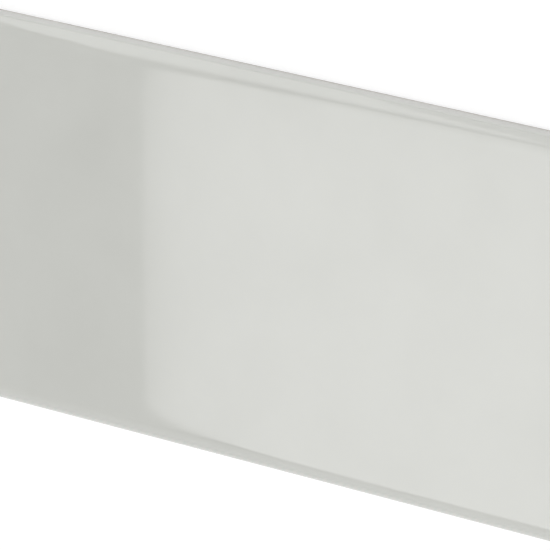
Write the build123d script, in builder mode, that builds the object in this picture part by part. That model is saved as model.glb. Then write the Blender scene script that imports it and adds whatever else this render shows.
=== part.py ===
"""A glazed ceramic wall tile: one pressed and fired piece, oblong, with a cushioned rim round its
flat face, and a lattice of shallow keys on its back that grips the adhesive.

Sizes are in millimetres. The tile lies on its back: +X runs along its length, +Y across its width
and +Z out of the glazed face. The origin is in the middle of the back, on the plane of the rib tops.
"""

from build123d import *

import os
from math import cos, radians, sin

# Overall format
length = 200.0
width = 100.0
thickness = 7.0

# Cushioned rim: a wide arc leaves the flat of the face, and a tight nose turns it down into the side
cushion_width = 4.5
cushion_lean = 50.0  # degrees that the wide arc has turned from level where the nose takes over
nose_radius = 0.6

# Corners seen from above, and the bevel round the back
corner_radius = 1.5
back_bevel = 0.6

# Key lattice pressed into the back: shallow pockets with ribs left between them
key_columns = 10
key_rows = 5
key_depth = 0.7
key_border = 5.0
rib_width = 2.4
key_corner_radius = 1.5
key_wall_slope = 30.0  # degrees that each pocket wall leans from upright, so that the die lets go

# Sizes that follow from those
lean_sine = sin(radians(cushion_lean))
lean_cosine = cos(radians(cushion_lean))
cushion_radius = (cushion_width - nose_radius * (1 - lean_sine)) / lean_sine
cushion_drop = cushion_radius * (1 - lean_cosine) + nose_radius * lean_cosine
rim_height = thickness - cushion_drop
key_length = (length - 2 * key_border - (key_columns - 1) * rib_width) / key_columns
key_width = (width - 2 * key_border - (key_rows - 1) * rib_width) / key_rows


def cross_section(span):
    """The tile cut straight across: bevelled back, upright sides and the cushion over each of them."""
    half = span / 2
    with BuildSketch() as section:
        with BuildLine():
            Polyline((0, 0), (half - back_bevel, 0), (half, back_bevel), (half, rim_height))
            nose = JernArc((half, rim_height), (0, 1), nose_radius, 90 - cushion_lean)
            cushion = JernArc(nose @ 1, nose % 1, cushion_radius, cushion_lean)
            Line(cushion @ 1, (0, thickness))
            mirror(about=Plane.YZ)
        make_face()
    return section.sketch


# Corner post: the outer end of the section, turned about the centre of the corner's radius
with BuildPart() as corner_post:
    with BuildSketch(Plane.XZ):
        with Locations((corner_radius - length / 2, 0)):
            add(cross_section(length))
        Rectangle(corner_radius, thickness, align=(Align.MIN, Align.MIN), mode=Mode.INTERSECT)
    revolve(axis=Axis.Z)

with BuildPart() as tile:
    # The lengthwise and the crosswise section share one body, so their cushions meet in mitres
    with BuildSketch(Plane.XZ.offset(-width / 2)):
        add(cross_section(length))
    extrude(amount=width)
    with BuildSketch(Plane.YZ.offset(-length / 2)):
        add(cross_section(width))
    extrude(amount=length, mode=Mode.INTERSECT)

    # A rounded post takes the place of each square corner
    with GridLocations(length - corner_radius, width - corner_radius, 2, 2):
        Box(
            corner_radius,
            corner_radius,
            thickness,
            align=(Align.CENTER, Align.CENTER, Align.MIN),
            mode=Mode.SUBTRACT,
        )
    with GridLocations(length - 2 * corner_radius, width - 2 * corner_radius, 2, 2):
        add(corner_post.part)

    # Keys in the back
    with BuildSketch(Plane.XY):
        with GridLocations(key_length + rib_width, key_width + rib_width, key_columns, key_rows):
            RectangleRounded(key_length, key_width, key_corner_radius)
    extrude(amount=key_depth, taper=key_wall_slope, mode=Mode.SUBTRACT)

tile.part.label = "tile"

os.makedirs("parts", exist_ok=True)
export_step(tile.part, "parts/tile.step")
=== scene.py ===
"""Looks of the glazed wall tile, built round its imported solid.

The tile lies on its back on a white floor: +X runs along it, +Y across it and +Z out of its glazed face.
Lengths are in metres. The camera looks down on the face as the photo does. Light panels stand where the
glaze mirrors them into that view, and others give it something to mirror from other sides.
"""

import math

import bmesh
import bpy
from mathutils import Matrix, Vector, noise


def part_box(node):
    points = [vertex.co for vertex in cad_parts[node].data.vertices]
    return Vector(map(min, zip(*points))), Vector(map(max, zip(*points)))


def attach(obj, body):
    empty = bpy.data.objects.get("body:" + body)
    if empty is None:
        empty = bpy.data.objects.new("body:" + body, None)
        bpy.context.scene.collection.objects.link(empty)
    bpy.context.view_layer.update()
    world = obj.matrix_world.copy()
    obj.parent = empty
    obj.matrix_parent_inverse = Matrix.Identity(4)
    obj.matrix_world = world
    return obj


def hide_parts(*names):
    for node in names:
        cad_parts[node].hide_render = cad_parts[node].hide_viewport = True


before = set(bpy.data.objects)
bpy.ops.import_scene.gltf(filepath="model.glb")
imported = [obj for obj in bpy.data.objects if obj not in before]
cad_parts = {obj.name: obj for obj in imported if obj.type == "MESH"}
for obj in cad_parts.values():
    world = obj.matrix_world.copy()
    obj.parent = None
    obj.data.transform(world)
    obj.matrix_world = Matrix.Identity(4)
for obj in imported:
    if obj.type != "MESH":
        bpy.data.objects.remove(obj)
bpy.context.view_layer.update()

MM = 0.001

# Tile: its format comes from the solid, and the other sizes are those of its section
tile_low, tile_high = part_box("tile")
half_length = (tile_high.x - tile_low.x) / 2
half_width = (tile_high.y - tile_low.y) / 2
thickness = tile_high.z - tile_low.z
cushion_width = 4.5 * MM
cushion_lean = math.radians(50)
nose_radius = 0.6 * MM
corner_radius = 1.5 * MM
back_bevel = 0.6 * MM
cushion_radius = (cushion_width - nose_radius * (1 - math.sin(cushion_lean))) / math.sin(cushion_lean)
cushion_drop = cushion_radius * (1 - math.cos(cushion_lean)) + nose_radius * math.cos(cushion_lean)
rim_height = thickness - cushion_drop

# Key lattice in the back
key_columns = 10
key_rows = 5
key_depth = 0.7 * MM
key_border = 5.0 * MM
rib_width = 2.4 * MM
key_corner_radius = 1.5 * MM
key_wall_slope = math.radians(30)
key_length = (2 * half_length - 2 * key_border - (key_columns - 1) * rib_width) / key_columns
key_width = (2 * half_width - 2 * key_border - (key_rows - 1) * rib_width) / key_rows

# Glaze: it ends on the sides in an uneven lip, and it lies a little unevenly over the cushion
glaze_skin = 0.12 * MM
glaze_line = 1.25 * MM
glaze_line_sway = 0.3 * MM
glaze_line_long_wave = 23 * MM
glaze_line_short_wave = 6 * MM
glaze_lip = 0.3 * MM
ripple_height = 0.018 * MM
ripple_length = 18 * MM
flat_corner_radius = 3.5 * MM
flat_margin = 0.05 * MM

# Stretch in which most values of a noise lie
noise_span = (0.3, 0.7)

# Finish of the glaze: clouds, specks, painted shade that darkens the sides towards their foot, uneven polish
# and two scales of relief
glaze_ior = 1.5
cloud_size = 22 * MM
cloud_colours = ((194, 195, 190), (197, 198, 193))
speck_size = 0.5 * MM
speck_span = (0.74, 0.8)
speck_colour = (180, 180, 174)
speck_share = 0.25
# Painted shade on the sides: its colour, its share, and the heights where it starts and where it is full
side_shade_colour = (190, 188, 185)
side_shade_share = 0.7
side_shade_top = rim_height - 0.4 * MM
side_shade_foot = rim_height - 2.2 * MM
polish_size = 9 * MM
polish_range = (0.018, 0.026)
flow_size = 18 * MM
flow_depth = 0.0012 * MM
peel_size = 1.6 * MM
peel_depth = 0.00012 * MM

# Finish of the unglazed body, whose greys are its own tone darkened as painted shade along the foot of the
# sides
biscuit_ior = 1.45
biscuit_roughness = 0.88
biscuit_patch_size = 12 * MM
biscuit_and_shade_colours = ((180, 178, 173), (192, 190, 185))
grit_size = 0.4 * MM
grit_span = (0.68, 0.78)
grit_colour = (162, 157, 148)
grit_share = 0.5
grain_size = 0.35 * MM
grain_depth = 0.05 * MM

# Mesh steps, and the angle from which an edge is sharp
long_side_steps = 160
short_side_steps = 80
corner_steps = 12
key_corner_steps = 5
wall_steps = 5
lip_steps = 4
nose_steps = 8
cushion_steps = 24
sharp_angle = math.radians(35)

# Material slots of the tile, and the first of its rings that is glazed
GLAZE, BISCUIT = 0, 1
first_glazed_ring = 2

# View of the photo
photo_px = 550
focal_px = 6500
sensor_width_mm = 36.0
view_yaw = math.radians(36.066)
view_pitch = math.radians(19.462)
view_distance = 1.5555
view_aim = Vector((0, 0.83 * MM, thickness))
toward_camera = Vector(
    (
        math.cos(view_pitch) * math.sin(view_yaw),
        math.sin(view_pitch),
        math.cos(view_pitch) * math.cos(view_yaw),
    )
)

# Studio: the floor, and the sky from its horizon to the zenith
floor_reach = 30.0
floor_gap = 0.05 * MM
floor_tone = 0.9
floor_shadow_share = 0.35
floor_near, floor_far = 0.3, 3.0
floor_near_glow, floor_far_glow = 0.72, 0.8
sky_levels = ((0.0, 1.0), (0.03, 0.8), (0.2, 1.05), (0.4, 1.05), (0.6, 0.7), (0.75, 0.46), (1.0, 0.42))

# Light panels that the photo's view mirrors in the flat face: a bright window and a dim curtain beside it
panel_distance = 2.0
rear_distance = 2.02
window_levels = (2.92, 3.15)
window_level_span = (-0.06, 0.12)
window_rows = (
    ((0.010, -0.500), (0.600, -0.265), 0.003, 1.0),
    ((0.005, -0.170), (0.600, -0.170), 0.003, 1.0),
    ((-0.010, -0.096), (0.600, -0.096), 0.012, 1.0),
    ((-0.042, -0.092), (0.600, -0.092), 0.008, 1.0),
    ((-0.054, -0.086), (0.600, -0.086), 0.003, 1.0),
    ((-0.097, 0.085), (0.600, 0.085), 0.003, 1.0),
    ((-0.110, 0.340), (0.600, 0.340), 0.030, 1.0),
    ((-0.210, 1.000), (0.600, 1.000), 0.090, 1.0),
    ((-0.415, 2.100), (0.600, 2.100), 0.110, 1.0),
)
window_shade_start = -0.0735
window_shade_slant = 0.245
window_shade_reach = 0.014
window_shade_depth = 0.52
window_corner = (-0.0985, 0.094)
window_corner_reach = (0.167, 0.0128)
window_corner_depth = 0.17
curtain_level = 0.05
curtain_rows = (
    ((-0.080, -0.200), (-0.021, -0.200), 0.025, 0.0),
    ((-0.107, -0.090), (-0.048, -0.090), 0.025, 0.2),
    ((-0.162, 0.130), (-0.103, 0.130), 0.025, 0.6),
    ((-0.185, 0.220), (-0.126, 0.220), 0.025, 0.0),
)

# Light panels that the photo's view mirrors in the far rim: a bright strip and a wing behind it
strip_lean = math.radians(40)
strip_level = 2.61
strip_rows = (
    ((-0.230, -0.950), (-0.060, -0.950), 0.010, 1.0),
    ((-0.180, -0.290), (0.075, -0.290), 0.010, 1.0),
    ((-0.165, 0.050), (0.122, 0.050), 0.010, 1.0),
    ((-0.155, 0.220), (0.135, 0.200), 0.010, 1.0),
    ((-0.200, 0.700), (0.145, 0.280), 0.010, 1.0),
    ((-0.380, 1.330), (0.120, 0.800), 0.010, 0.0),
)
wing_level = 1.4
wing_rows = (
    ((-0.05, -0.95), (0.60, -0.95), 0.03, 1.0),
    ((0.10, 0.35), (0.60, 0.35), 0.03, 1.0),
)

# Fill light, and panels that the glaze mirrors from other sides
fill_direction = Vector((0.75, -0.10, 0.65))
fill_distance = 0.8
fill_level = 1.94
fill_rows = (
    ((-0.3, -0.3), (0.3, -0.3), 0.05, 1.0),
    ((-0.3, 0.3), (0.3, 0.3), 0.05, 1.0),
)
back_direction = Vector((0.68, -0.68, 0.26))
back_level = 1.4
back_rows = (
    ((0.0, -0.2), (0.6, -0.2), 0.02, 1.0),
    ((0.0, 0.3), (0.6, 0.3), 0.02, 1.0),
)
side_panels = (
    (Vector((0.61, 0.61, 0.50)), 1.9),
    (Vector((0.00, 0.87, 0.50)), 1.9),
    (Vector((0.00, -0.87, 0.50)), 1.6),
    (Vector((-0.77, -0.48, 0.42)), 1.6),
)
side_rows = (
    ((0.0, -0.3), (0.4, -0.3), 0.02, 1.0),
    ((0.0, 0.3), (0.4, 0.3), 0.02, 1.0),
)


def srgb(screen_colour):
    """Linear colour of an 8-bit screen colour."""

    def linear(value):
        share = value / 255
        return share / 12.92 if share <= 0.04045 else ((share + 0.055) / 1.055) ** 2.4

    return (*(linear(value) for value in screen_colour), 1.0)


def grey(level):
    """Linear colour of a grey."""
    return (level, level, level, 1.0)


class Nodes:
    """Short way to add nodes to a tree and to link them."""

    def __init__(self, owner):
        owner.use_nodes = True
        self.tree = owner.node_tree
        self.tree.nodes.clear()

    def add(self, kind, settings=None, **inputs):
        """New node with the given settings and inputs. An input's name is written with _ for a space."""
        node = self.tree.nodes.new(kind)
        for name, value in (settings or {}).items():
            setattr(node, name, value)
        for name, value in inputs.items():
            self.feed(node.inputs[name.replace("_", " ")], value)
        return node

    def feed(self, socket, value):
        """Sets a socket to a value, or links it to another socket."""
        if isinstance(value, bpy.types.NodeSocket):
            self.tree.links.new(value, socket)
        else:
            socket.default_value = value

    def math(self, operation, *values, clamp=False):
        node = self.add("ShaderNodeMath", {"operation": operation, "use_clamp": clamp})
        for socket, value in zip(node.inputs, values):
            self.feed(socket, value)
        return node.outputs["Value"]

    def map_range(self, value, source, target):
        """Value carried over from one range to another, and held at their ends."""
        node = self.add(
            "ShaderNodeMapRange",
            Value=value,
            From_Min=source[0],
            From_Max=source[1],
            To_Min=target[0],
            To_Max=target[1],
        )
        return node.outputs["Result"]

    def ramp(self, value, *stops):
        """Colour ramp through the given stops, each a place and a colour or a grey."""
        node = self.add("ShaderNodeValToRGB", Fac=value)
        elements = node.color_ramp.elements
        while len(elements) < len(stops):
            elements.new(0.5)
        for element, (place, colour) in zip(elements, stops):
            element.position = place
            element.color = colour if isinstance(colour, tuple) else grey(colour)
        return node.outputs["Color"]

    def noise(self, place, size, detail=2.0):
        """Noise whose lumps are about the given size."""
        node = self.add("ShaderNodeTexNoise", Vector=place, Scale=1 / size, Detail=detail)
        return node.outputs["Fac"]

    def bump(self, height, depth, below=None):
        """Normal of a surface with relief of the given depth, on top of another normal."""
        node = self.add("ShaderNodeBump", Height=height, Distance=depth)
        if below is not None:
            self.feed(node.inputs["Normal"], below)
        return node.outputs["Normal"]

    def mix(self, share, first, second):
        """Colour between two others."""
        node = self.add("ShaderNodeMix", {"data_type": "RGBA"}, Factor=share)
        colours = [socket for socket in node.inputs if socket.type == "RGBA"]
        self.feed(colours[0], first)
        self.feed(colours[1], second)
        return next(socket for socket in node.outputs if socket.type == "RGBA")


def glaze_material():
    """Pale warm-grey gloss glaze: faint clouding, a few specks, and painted shade darkening the sides
    towards their foot.
    """
    material = bpy.data.materials.new("glaze")
    nodes = Nodes(material)
    place = nodes.add("ShaderNodeTexCoord").outputs["Object"]
    height = nodes.add("ShaderNodeSeparateXYZ", Vector=place).outputs["Z"]
    clouds = nodes.noise(place, cloud_size, detail=3)
    colour = nodes.ramp(clouds, *zip(noise_span, map(srgb, cloud_colours)))
    specks = nodes.ramp(nodes.noise(place, speck_size), *zip(speck_span, (0.0, speck_share)))
    colour = nodes.mix(specks, colour, srgb(speck_colour))
    # Painted shade: the sides of the glaze turn darker towards their foot
    sides = nodes.map_range(height, (side_shade_top, side_shade_foot), (0.0, side_shade_share))
    colour = nodes.mix(sides, colour, srgb(side_shade_colour))
    patches = nodes.noise(place, polish_size, detail=4)
    polish = nodes.ramp(patches, *zip(noise_span, polish_range))
    flow = nodes.bump(nodes.noise(place, flow_size, detail=1), flow_depth)
    peel = nodes.bump(nodes.noise(place, peel_size, detail=1), peel_depth, below=flow)
    surface = nodes.add(
        "ShaderNodeBsdfPrincipled", Base_Color=colour, Roughness=polish, IOR=glaze_ior, Normal=peel
    )
    nodes.add("ShaderNodeOutputMaterial", Surface=surface.outputs["BSDF"])
    return material


def biscuit_material():
    """Unglazed fired body: matt, chalky and finely grained, its greys darkened as painted shade."""
    material = bpy.data.materials.new("biscuit")
    nodes = Nodes(material)
    place = nodes.add("ShaderNodeTexCoord").outputs["Object"]
    patches = nodes.noise(place, biscuit_patch_size, detail=5)
    # Body tone, partly the body's own grey and partly painted shade for the foot of the sides
    tone = nodes.ramp(patches, *zip(noise_span, map(srgb, biscuit_and_shade_colours)))
    grit = nodes.ramp(nodes.noise(place, grit_size), *zip(grit_span, (0.0, grit_share)))
    colour = nodes.mix(grit, tone, srgb(grit_colour))
    grain = nodes.bump(nodes.noise(place, grain_size, detail=4), grain_depth)
    surface = nodes.add(
        "ShaderNodeBsdfPrincipled",
        Base_Color=colour,
        Roughness=biscuit_roughness,
        IOR=biscuit_ior,
        Normal=grain,
    )
    nodes.add("ShaderNodeOutputMaterial", Surface=surface.outputs["BSDF"])
    return material


def rounded_rectangle(centre, half_x, half_y, radius, x_steps, y_steps, arc_steps):
    """Points once round a rounded rectangle, counter-clockwise from its lower right corner."""
    points = []
    for quarter, steps in enumerate((y_steps, x_steps, y_steps, x_steps)):
        side_x, side_y = ((1, -1), (1, 1), (-1, 1), (-1, -1))[quarter]
        hub = Vector((side_x * (half_x - radius), side_y * (half_y - radius)))
        for step in range(arc_steps):
            turn = math.radians(90) * (quarter - 1 + step / arc_steps)
            points.append(hub + radius * Vector((math.cos(turn), math.sin(turn))))
        next_x, next_y = ((1, 1), (-1, 1), (-1, -1), (1, -1))[quarter]
        turn = math.radians(90) * quarter
        reach = radius * Vector((math.cos(turn), math.sin(turn)))
        next_hub = Vector((next_x * (half_x - radius), next_y * (half_y - radius)))
        points += [(hub + reach).lerp(next_hub + reach, step / steps) for step in range(steps)]
    return [Vector(centre) + point for point in points]


def tile_ring(inset, radius):
    """Points once round the tile, at an inset from its sides."""
    return rounded_rectangle(
        (0, 0),
        half_length - inset,
        half_width - inset,
        radius,
        long_side_steps,
        short_side_steps,
        corner_steps,
    )


def unevenness(point, size, seed):
    """Smooth noise between -1 and 1 whose lumps are about the given size."""
    return noise.noise(Vector((point.x / size, point.y / size, seed)))


def glaze_edge(point):
    """Height at which the glaze ends on the side of the tile."""
    long_wave = unevenness(point, glaze_line_long_wave, 3.1)
    short_wave = unevenness(point, glaze_line_short_wave, 8.4)
    return glaze_line + glaze_line_sway * (0.7 * long_wave + 0.3 * short_wave)


def tile_rings():
    """Rings of points from the edge of the back, up the sides and over the cushion to the flat face."""
    rings = []

    def ring(inset, radius, height):
        rings.append([Vector((p.x, p.y, height(p))) for p in tile_ring(inset, radius)])

    ring(glaze_skin + back_bevel, corner_radius, lambda p: 0.0)
    ring(glaze_skin, corner_radius, lambda p: back_bevel)
    for step in range(lip_steps + 1):
        turn = math.radians(90) * step / lip_steps
        rise = glaze_lip * (1 - math.cos(turn))
        ring(glaze_skin * math.cos(turn), corner_radius, lambda p, rise=rise: glaze_edge(p) + rise)
    for step in range(1, wall_steps + 1):
        share = step / wall_steps
        ring(
            0.0,
            corner_radius,
            lambda p, share=share: (glaze_edge(p) + glaze_lip) * (1 - share) + rim_height * share,
        )
    for step in range(1, nose_steps + 1):
        lean = math.radians(90) + (cushion_lean - math.radians(90)) * step / nose_steps
        level = rim_height + nose_radius * math.cos(lean)
        ring(nose_radius * (1 - math.sin(lean)), corner_radius, lambda p, level=level: level)
    for step in range(1, cushion_steps + 1):
        share = step / cushion_steps
        lean = cushion_lean * (1 - share)
        level = thickness - cushion_radius * (1 - math.cos(lean))
        swell = ripple_height * math.sin(math.pi * share) ** 2
        ring(
            cushion_width - cushion_radius * math.sin(lean),
            corner_radius + (flat_corner_radius - corner_radius) * share,
            lambda p, level=level, swell=swell: level + swell * unevenness(p, ripple_length, 5.7),
        )
    ring(cushion_width + flat_margin, flat_corner_radius, lambda p: thickness)
    return rings


def add_walls(mesh, rings, slots):
    """Strips of faces between each ring and the next."""
    for lower, upper, slot in zip(rings, rings[1:], slots):
        count = len(lower)
        for index in range(count):
            after = (index + 1) % count
            corners = (lower[index], lower[after], upper[after], upper[index])
            face = mesh.faces.new(tuple(dict.fromkeys(corners)))
            face.material_index = slot


def add_flat(mesh, border):
    """Flat of the face: a grid of quads inside the last ring of the cushion, with a fan at each corner."""
    inner_x = half_length - cushion_width - flat_margin - flat_corner_radius
    inner_y = half_width - cushion_width - flat_margin - flat_corner_radius
    grid = [
        [
            mesh.verts.new(
                (
                    inner_x * (2 * column / long_side_steps - 1),
                    inner_y * (2 * row / short_side_steps - 1),
                    thickness,
                )
            )
            for column in range(long_side_steps + 1)
        ]
        for row in range(short_side_steps + 1)
    ]
    right_side = [row[-1] for row in grid]
    top_side = grid[-1][::-1]
    left_side = [row[0] for row in grid][::-1]
    bottom_side = grid[0]
    inner_ring = []
    for side in (right_side, top_side, left_side, bottom_side):
        inner_ring += [side[0]] * corner_steps + side[:-1]
    add_walls(mesh, [border, inner_ring], (GLAZE,))
    for lower, upper in zip(grid, grid[1:]):
        for column in range(long_side_steps):
            face = mesh.faces.new((lower[column], lower[column + 1], upper[column + 1], upper[column]))
            face.material_index = GLAZE


def add_keys(mesh):
    """Pockets of the key lattice, open at the back. Returns their rims."""
    rims = []
    run = key_depth * math.tan(key_wall_slope)
    for column in range(key_columns):
        for row in range(key_rows):
            centre = (
                (column - (key_columns - 1) / 2) * (key_length + rib_width),
                (row - (key_rows - 1) / 2) * (key_width + rib_width),
            )
            rings = []
            for inset, height in ((0.0, 0.0), (run, key_depth)):
                points = rounded_rectangle(
                    centre,
                    key_length / 2 - inset,
                    key_width / 2 - inset,
                    key_corner_radius - inset,
                    1,
                    1,
                    key_corner_steps,
                )
                rings.append([mesh.verts.new((p.x, p.y, height)) for p in points])
            add_walls(mesh, rings, (BISCUIT,))
            floor = mesh.faces.new(rings[1])
            floor.material_index = BISCUIT
            rims.append(rings[0])
    return rims


def loop_edges(mesh, loop):
    """Edges once round a loop of points."""
    return [mesh.edges.get((a, b)) or mesh.edges.new((a, b)) for a, b in zip(loop, loop[1:] + loop[:1])]


def make_tile(glaze, biscuit):
    """The tile as one closed mesh: glazed face, rim and sides on an unglazed back with its keys."""
    mesh = bmesh.new()
    rings = [[mesh.verts.new(point) for point in ring] for ring in tile_rings()]
    slots = [BISCUIT] * first_glazed_ring + [GLAZE] * (len(rings) - first_glazed_ring - 1)
    add_walls(mesh, rings, slots)
    add_flat(mesh, rings[-1])
    rims = add_keys(mesh)
    edges = [edge for loop in [rings[0], *rims] for edge in loop_edges(mesh, loop)]
    back = bmesh.ops.triangle_fill(mesh, use_beauty=True, edges=edges)
    for part in back["geom"]:
        if isinstance(part, bmesh.types.BMFace):
            part.material_index = BISCUIT
    bmesh.ops.recalc_face_normals(mesh, faces=mesh.faces)
    for part in mesh.faces:
        part.smooth = True
    data = bpy.data.meshes.new("glazed_tile")
    mesh.to_mesh(data)
    mesh.free()
    data.materials.append(glaze)
    data.materials.append(biscuit)
    data.set_sharp_from_angle(angle=sharp_angle)
    tile = bpy.data.objects.new("glazed_tile", data)
    bpy.context.scene.collection.objects.link(tile)
    return tile


def make_floor():
    """White floor that shows the tile's shadow: it is lit as a plain pale floor, and seen as white."""
    data = bpy.data.meshes.new("floor")
    sides = ((-1, -1), (1, -1), (1, 1), (-1, 1))
    corners = [(x * floor_reach, y * floor_reach, -floor_gap) for x, y in sides]
    data.from_pydata(corners, [], [(0, 1, 2, 3)])
    material = bpy.data.materials.new("floor_white")
    nodes = Nodes(material)
    path = nodes.add("ShaderNodeLightPath").outputs
    seen = nodes.math("ADD", path["Is Camera Ray"], path["Is Glossy Ray"])
    seen = nodes.math("ADD", seen, path["Is Transmission Ray"], clamp=True)
    lit = nodes.add("ShaderNodeBsdfDiffuse", Color=grey(floor_tone))
    shade = nodes.add("ShaderNodeBsdfDiffuse", Color=grey(floor_shadow_share))
    place = nodes.add("ShaderNodeTexCoord").outputs["Object"]
    distance = nodes.add("ShaderNodeVectorMath", {"operation": "LENGTH"}, Vector=place).outputs["Value"]
    level = nodes.map_range(distance, (floor_near, floor_far), (floor_near_glow, floor_far_glow))
    glow = nodes.add("ShaderNodeEmission", Strength=level)
    shown = nodes.add("ShaderNodeAddShader")
    nodes.feed(shown.inputs[0], shade.outputs[0])
    nodes.feed(shown.inputs[1], glow.outputs[0])
    either = nodes.add("ShaderNodeMixShader", Fac=seen)
    nodes.feed(either.inputs[1], lit.outputs[0])
    nodes.feed(either.inputs[2], shown.outputs[0])
    nodes.add("ShaderNodeOutputMaterial", Surface=either.outputs[0])
    data.materials.append(material)
    floor = bpy.data.objects.new("floor", data)
    bpy.context.scene.collection.objects.link(floor)


def mirror_direction(lean):
    """Where a spot of the glaze sends the camera's line of sight, if it leans from level towards +Y."""
    normal = Vector((0, math.sin(lean), math.cos(lean)))
    return 2 * toward_camera.dot(normal) * normal - toward_camera


def panel_mesh(name, rows):
    """Flat panel through the given rows, from its bottom to its top, with x towards the tile's +X end.

    A row has its left and right end, the width of its soft ends and its share of the panel's glow.
    """
    mesh = bmesh.new()
    glow = mesh.verts.layers.float.new("glow")
    lines = []
    for left, right, soft, share in rows:
        left = Vector((*left, 0))
        right = Vector((*right, 0))
        inwards = soft * (right - left).normalized()
        line = [mesh.verts.new(point) for point in (left, left + inwards, right - inwards, right)]
        for vertex in line[1:-1]:
            vertex[glow] = share
        lines.append(line)
    for lower, upper in zip(lines, lines[1:]):
        for column in range(3):
            mesh.faces.new((lower[column], lower[column + 1], upper[column + 1], upper[column]))
    data = bpy.data.meshes.new(name)
    mesh.to_mesh(data)
    mesh.free()
    return data


def panel_material(name, level):
    """Light of a panel, which clears where its glow ends. The level is a number or is made from nodes."""
    material = bpy.data.materials.new(name)
    nodes = Nodes(material)
    glow = nodes.add("ShaderNodeAttribute", {"attribute_name": "glow"}).outputs["Fac"]
    light = nodes.add("ShaderNodeEmission", Strength=level(nodes) if callable(level) else level)
    clear = nodes.add("ShaderNodeBsdfTransparent")
    either = nodes.add("ShaderNodeMixShader", Fac=glow)
    nodes.feed(either.inputs[1], clear.outputs[0])
    nodes.feed(either.inputs[2], light.outputs[0])
    nodes.add("ShaderNodeOutputMaterial", Surface=either.outputs[0])
    return material


def light_panel(name, direction, distance, rows, level):
    """Panel that faces the tile from the given direction and isn't seen by the camera itself."""
    direction = direction.normalized()
    across = Vector((1, 0, 0))
    across = (across - across.dot(direction) * direction).normalized()
    upward = direction.cross(across)
    upward = upward if upward.z > 0 else -upward
    data = panel_mesh(name, rows)
    data.materials.append(panel_material(name, level))
    panel = bpy.data.objects.new(name, data)
    turn = Matrix((across, upward, across.cross(upward))).transposed().to_4x4()
    panel.matrix_world = Matrix.Translation(view_aim + direction * distance) @ turn
    panel.visible_camera = False
    bpy.context.scene.collection.objects.link(panel)


def fade(nodes, value, start, reach):
    """Share that fades from 1 as a value passes a start, or drops below it if the reach is negative."""
    fall = nodes.math("MULTIPLY", nodes.math("SUBTRACT", value, start), -1 / reach)
    return nodes.math("EXPONENT", nodes.math("MINIMUM", fall, 0.0))


def window_light(nodes):
    """Level of the window: it rises towards +X, and dims at its slanted side and in its upper left part."""
    place = nodes.add("ShaderNodeTexCoord").outputs["Object"]
    sides = nodes.add("ShaderNodeSeparateXYZ", Vector=place).outputs
    level = nodes.map_range(sides["X"], window_level_span, window_levels)
    inwards = nodes.math("MULTIPLY_ADD", sides["Y"], window_shade_slant, sides["X"])
    shade = fade(nodes, inwards, window_shade_start, window_shade_reach)
    along = fade(nodes, sides["X"], window_corner[0], window_corner_reach[0])
    upward = fade(nodes, sides["Y"], window_corner[1], -window_corner_reach[1])
    corner = nodes.math("MULTIPLY", along, upward)
    kept = nodes.math("MULTIPLY_ADD", shade, -window_shade_depth, 1.0)
    kept = nodes.math("MULTIPLY_ADD", corner, -window_corner_depth, kept)
    return nodes.math("MULTIPLY", level, kept)


def make_world():
    """Studio sky, brighter towards its horizon as pale walls make it."""
    world = bpy.data.worlds.new("studio")
    bpy.context.scene.world = world
    nodes = Nodes(world)
    direction = nodes.add("ShaderNodeTexCoord").outputs["Generated"]
    rise = nodes.add("ShaderNodeSeparateXYZ", Vector=direction).outputs["Z"]
    sky = nodes.add("ShaderNodeBackground", Color=nodes.ramp(rise, *sky_levels))
    nodes.add("ShaderNodeOutputWorld", Surface=sky.outputs[0])


def make_camera():
    """Camera of the photo: the tile's width runs up the picture."""
    data = bpy.data.cameras.new("camera")
    data.sensor_width = sensor_width_mm
    data.lens = sensor_width_mm * focal_px / photo_px
    data.clip_start = view_distance / 100
    data.clip_end = view_distance * 100
    camera = bpy.data.objects.new("camera", data)
    picture_up = Vector((0, 1, 0))
    picture_up = (picture_up - picture_up.dot(toward_camera) * toward_camera).normalized()
    picture_right = picture_up.cross(toward_camera)
    turn = Matrix((picture_right, picture_up, toward_camera)).transposed().to_4x4()
    camera.matrix_world = Matrix.Translation(view_aim + toward_camera * view_distance) @ turn
    bpy.context.scene.collection.objects.link(camera)
    bpy.context.scene.camera = camera


tile = make_tile(glaze_material(), biscuit_material())
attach(tile, "root")
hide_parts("tile")

make_floor()
light_panel("window_panel", mirror_direction(0.0), panel_distance, window_rows, window_light)
light_panel("curtain_panel", mirror_direction(0.0), rear_distance, curtain_rows, curtain_level)
light_panel("strip_panel", mirror_direction(strip_lean), panel_distance, strip_rows, strip_level)
light_panel("wing_panel", mirror_direction(strip_lean), rear_distance, wing_rows, wing_level)
light_panel("fill_panel", fill_direction, fill_distance, fill_rows, fill_level)
light_panel("back_panel", back_direction, panel_distance, back_rows, back_level)
for number, (direction, level) in enumerate(side_panels):
    light_panel(f"side_panel_{number}", direction, panel_distance, side_rows, level)
make_world()
make_camera()
bpy.context.scene.view_settings.view_transform = "Standard"
